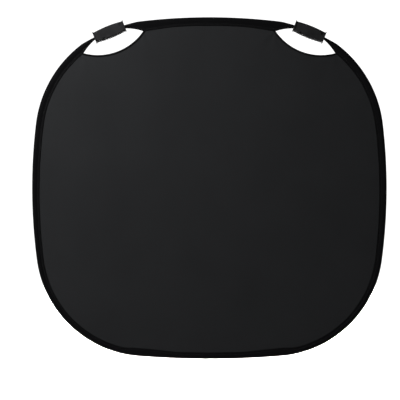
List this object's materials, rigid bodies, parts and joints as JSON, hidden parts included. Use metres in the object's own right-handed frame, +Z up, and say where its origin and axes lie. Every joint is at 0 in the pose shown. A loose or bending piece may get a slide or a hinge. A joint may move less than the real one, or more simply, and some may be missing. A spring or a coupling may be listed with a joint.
{
  "type": "collapsible backdrop panel",
  "caption": "Rounded-square pop-up backdrop panel: black and white cloth on a folding spring-steel hoop, with two hand grips at the upper corners.",
  "frame": {"origin": "middle of the top edge, on the mid-plane, where a stand clip or clamp holds the panel", "axes": "+Z up along the panel, +X to the right seen from the black face, -Y out of the black face"},
  "size_m": [1.2, 0.035, 1.156],
  "materials": {
    "spring_steel": "satin",
    "zinc": "zinc plated",
    "black_cloth": "matt woven polyester",
    "white_cloth": "matt woven polyester",
    "black_tape": "woven binding tape",
    "grip_plastic": "fine grained",
    "liner_rubber": "matt"
  },
  "bodies": {
    "top_band": {"hoop_0": "spring_steel", "front_cloth": "black_cloth", "back_cloth": "white_cloth", "rim_sleeve": "black_tape", "top_sleeve": "black_tape", "opening_binding_right": "black_tape", "opening_binding_left": "black_tape"},
    "band_r1": {"hoop_r1": "spring_steel"},
    "band_r2": {"hoop_r2": "spring_steel", "grip_right_front": "grip_plastic", "grip_right_back": "grip_plastic", "grip_right_liner": "liner_rubber", "grip_right_screws": "zinc"},
    "band_r3": {"hoop_r3": "spring_steel"},
    "band_r4": {"hoop_r4": "spring_steel"},
    "band_r5": {"hoop_r5": "spring_steel"},
    "band_r6": {"hoop_r6": "spring_steel"},
    "band_r7": {"hoop_r7": "spring_steel"},
    "band_r8": {"hoop_r8": "spring_steel"},
    "band_r9": {"hoop_r9": "spring_steel"},
    "band_r10": {"hoop_r10": "spring_steel"},
    "band_r11": {"hoop_r11": "spring_steel"},
    "band_r12": {"hoop_r12": "spring_steel"},
    "band_l1": {"hoop_l1": "spring_steel"},
    "band_l2": {"hoop_l2": "spring_steel", "grip_left_front": "grip_plastic", "grip_left_back": "grip_plastic", "grip_left_liner": "liner_rubber", "grip_left_screws": "zinc"},
    "band_l3": {"hoop_l3": "spring_steel"},
    "band_l4": {"hoop_l4": "spring_steel"},
    "band_l5": {"hoop_l5": "spring_steel"},
    "band_l6": {"hoop_l6": "spring_steel"},
    "band_l7": {"hoop_l7": "spring_steel"},
    "band_l8": {"hoop_l8": "spring_steel"},
    "band_l9": {"hoop_l9": "spring_steel"},
    "band_l10": {"hoop_l10": "spring_steel"},
    "band_l11": {"hoop_l11": "spring_steel"},
    "band_l12": {"hoop_l12": "spring_steel", "splice_clip": "zinc", "splice_rivets": "zinc"}
  },
  "joints": [
    {"name": "fold", "type": "hinge", "parent": "top_band", "child": "band_r1", "pos_m": [0.08077, 0, -0.00816], "axis": [-0.0648, 0.9979, 0.0064], "range_deg": [0, 37.39], "stiffness_Nm_per_rad": 0.825, "springref_deg": -63.03, "deforming": ["front_cloth", "back_cloth", "rim_sleeve", "top_sleeve", "opening_binding_right", "opening_binding_left"]},
    {"name": "flex_r2", "type": "hinge", "parent": "band_r1", "child": "band_r2", "pos_m": [0.24178, 0, -0.02138], "axis": [0.0331, 0.9912, 0.1284], "range_deg": [0, 30.23], "stiffness_Nm_per_rad": 0.772, "springref_deg": -25.41},
    {"name": "flex_r3", "type": "hinge", "parent": "band_r2", "child": "band_r3", "pos_m": [0.40304, 0, -0.07928], "axis": [0.125, 0.9842, 0.1257], "range_deg": [0, 23.95], "stiffness_Nm_per_rad": 0.772, "springref_deg": -25.41},
    {"name": "flex_r4", "type": "hinge", "parent": "band_r3", "child": "band_r4", "pos_m": [0.52385, 0, -0.20077], "axis": [0.1467, 0.9892, -0.0037], "range_deg": [0, 22.78], "stiffness_Nm_per_rad": 0.772, "springref_deg": -25.41},
    {"name": "flex_r5", "type": "hinge", "parent": "band_r4", "child": "band_r5", "pos_m": [0.58084, 0, -0.36235], "axis": [0.105, 0.9924, -0.0639], "range_deg": [0, 29.26], "stiffness_Nm_per_rad": 0.871, "springref_deg": -4.76},
    {"name": "flex_r6", "type": "hinge", "parent": "band_r5", "child": "band_r6", "pos_m": [0.59242, 0, -0.51493], "axis": [0.0675, 0.9961, -0.0569], "range_deg": [0, 37.06], "stiffness_Nm_per_rad": 0.871, "springref_deg": -4.76},
    {"name": "flex_r7", "type": "hinge", "parent": "band_r6", "child": "band_r7", "pos_m": [0.5913, 0, -0.66795], "axis": [0.0415, 0.9981, -0.0448], "range_deg": [0, 37.32], "stiffness_Nm_per_rad": 0.871, "springref_deg": -4.76},
    {"name": "flex_r8", "type": "hinge", "parent": "band_r7", "child": "band_r8", "pos_m": [0.57749, 0, -0.82034], "axis": [0.0214, 0.9989, -0.042], "range_deg": [0, 28.24], "stiffness_Nm_per_rad": 0.795, "springref_deg": -25.99},
    {"name": "flex_r9", "type": "hinge", "parent": "band_r8", "child": "band_r9", "pos_m": [0.51916, 0, -0.97592], "axis": [0.0327, 0.999, -0.0307], "range_deg": [0, 20.95], "stiffness_Nm_per_rad": 0.795, "springref_deg": -25.99},
    {"name": "flex_r10", "type": "hinge", "parent": "band_r9", "child": "band_r10", "pos_m": [0.39856, 0, -1.09022], "axis": [0.0659, 0.9975, 0.0242], "range_deg": [0, 23.72], "stiffness_Nm_per_rad": 0.795, "springref_deg": -25.99},
    {"name": "flex_r11", "type": "hinge", "parent": "band_r10", "child": "band_r11", "pos_m": [0.24006, 0, -1.14011], "axis": [0.0654, 0.9958, 0.0648], "range_deg": [0, 31.8], "stiffness_Nm_per_rad": 0.832, "springref_deg": -2.99},
    {"name": "flex_r12", "type": "hinge", "parent": "band_r11", "child": "band_r12", "pos_m": [0.08009, 0, -1.14846], "axis": [0.0752, 0.9969, 0.0216], "range_deg": [0, 34.96], "stiffness_Nm_per_rad": 0.889, "springref_deg": -1.5},
    {"name": "flex_l1", "type": "hinge", "parent": "top_band", "child": "band_l1", "pos_m": [-0.08077, 0, -0.00816], "axis": [0.0107, -0.9999, 0.0116], "range_deg": [0, 37.26], "stiffness_Nm_per_rad": 0.825, "springref_deg": -63.03},
    {"name": "flex_l2", "type": "hinge", "parent": "band_l1", "child": "band_l2", "pos_m": [-0.24178, 0, -0.02138], "axis": [-0.0096, -0.9967, 0.0809], "range_deg": [0, 30.57], "stiffness_Nm_per_rad": 0.772, "springref_deg": -25.41},
    {"name": "flex_l3", "type": "hinge", "parent": "band_l2", "child": "band_l3", "pos_m": [-0.40304, 0, -0.07928], "axis": [-0.098, -0.994, 0.0477], "range_deg": [0, 22.5], "stiffness_Nm_per_rad": 0.772, "springref_deg": -25.41},
    {"name": "flex_l4", "type": "hinge", "parent": "band_l3", "child": "band_l4", "pos_m": [-0.52385, 0, -0.20077], "axis": [-0.1189, -0.9929, -0.0088], "range_deg": [0, 22.54], "stiffness_Nm_per_rad": 0.772, "springref_deg": -25.41},
    {"name": "flex_l5", "type": "hinge", "parent": "band_l4", "child": "band_l5", "pos_m": [-0.58084, 0, -0.36235], "axis": [-0.0774, -0.9961, -0.0431], "range_deg": [0, 29.28], "stiffness_Nm_per_rad": 0.871, "springref_deg": -4.76},
    {"name": "flex_l6", "type": "hinge", "parent": "band_l5", "child": "band_l6", "pos_m": [-0.59242, 0, -0.51493], "axis": [-0.0507, -0.9976, -0.0472], "range_deg": [0, 36.4], "stiffness_Nm_per_rad": 0.871, "springref_deg": -4.76},
    {"name": "flex_l7", "type": "hinge", "parent": "band_l6", "child": "band_l7", "pos_m": [-0.5913, 0, -0.66795], "axis": [-0.0315, -0.9988, -0.0381], "range_deg": [0, 34.39], "stiffness_Nm_per_rad": 0.871, "springref_deg": -4.76},
    {"name": "flex_l8", "type": "hinge", "parent": "band_l7", "child": "band_l8", "pos_m": [-0.57749, 0, -0.82034], "axis": [-0.0262, -0.9993, -0.0262], "range_deg": [0, 30.23], "stiffness_Nm_per_rad": 0.795, "springref_deg": -25.99},
    {"name": "flex_l9", "type": "hinge", "parent": "band_l8", "child": "band_l9", "pos_m": [-0.51916, 0, -0.97592], "axis": [-0.0492, -0.9987, -0.0108], "range_deg": [0, 24.42], "stiffness_Nm_per_rad": 0.795, "springref_deg": -25.99},
    {"name": "flex_l10", "type": "hinge", "parent": "band_l9", "child": "band_l10", "pos_m": [-0.39856, 0, -1.09022], "axis": [-0.0845, -0.9961, 0.0268], "range_deg": [0, 21.17], "stiffness_Nm_per_rad": 0.795, "springref_deg": -25.99},
    {"name": "flex_l11", "type": "hinge", "parent": "band_l10", "child": "band_l11", "pos_m": [-0.24006, 0, -1.14011], "axis": [-0.094, -0.9939, 0.0574], "range_deg": [0, 25.94], "stiffness_Nm_per_rad": 0.832, "springref_deg": -2.99},
    {"name": "flex_l12", "type": "hinge", "parent": "band_l11", "child": "band_l12", "pos_m": [-0.08009, 0, -1.14846], "axis": [-0.0831, -0.9965, -0.0028], "range_deg": [0, 48.75], "stiffness_Nm_per_rad": 0.889, "springref_deg": -1.5}
  ],
  "couplings": [
    {"joint": "flex_r2", "follows": "fold", "ratio": 0.80846},
    {"joint": "flex_r3", "follows": "fold", "ratio": 0.64057},
    {"joint": "flex_r4", "follows": "fold", "ratio": 0.60909},
    {"joint": "flex_r5", "follows": "fold", "ratio": 0.78257},
    {"joint": "flex_r6", "follows": "fold", "ratio": 0.99094},
    {"joint": "flex_r7", "follows": "fold", "ratio": 0.99812},
    {"joint": "flex_r8", "follows": "fold", "ratio": 0.75524},
    {"joint": "flex_r9", "follows": "fold", "ratio": 0.56024},
    {"joint": "flex_r10", "follows": "fold", "ratio": 0.63444},
    {"joint": "flex_r11", "follows": "fold", "ratio": 0.85032},
    {"joint": "flex_r12", "follows": "fold", "ratio": 0.93477},
    {"joint": "flex_l1", "follows": "fold", "ratio": 0.99651},
    {"joint": "flex_l2", "follows": "fold", "ratio": 0.8175},
    {"joint": "flex_l3", "follows": "fold", "ratio": 0.60172},
    {"joint": "flex_l4", "follows": "fold", "ratio": 0.60271},
    {"joint": "flex_l5", "follows": "fold", "ratio": 0.78312},
    {"joint": "flex_l6", "follows": "fold", "ratio": 0.97329},
    {"joint": "flex_l7", "follows": "fold", "ratio": 0.91954},
    {"joint": "flex_l8", "follows": "fold", "ratio": 0.80828},
    {"joint": "flex_l9", "follows": "fold", "ratio": 0.65304},
    {"joint": "flex_l10", "follows": "fold", "ratio": 0.56605},
    {"joint": "flex_l11", "follows": "fold", "ratio": 0.69378},
    {"joint": "flex_l12", "follows": "fold", "ratio": 1.3036}
  ]
}
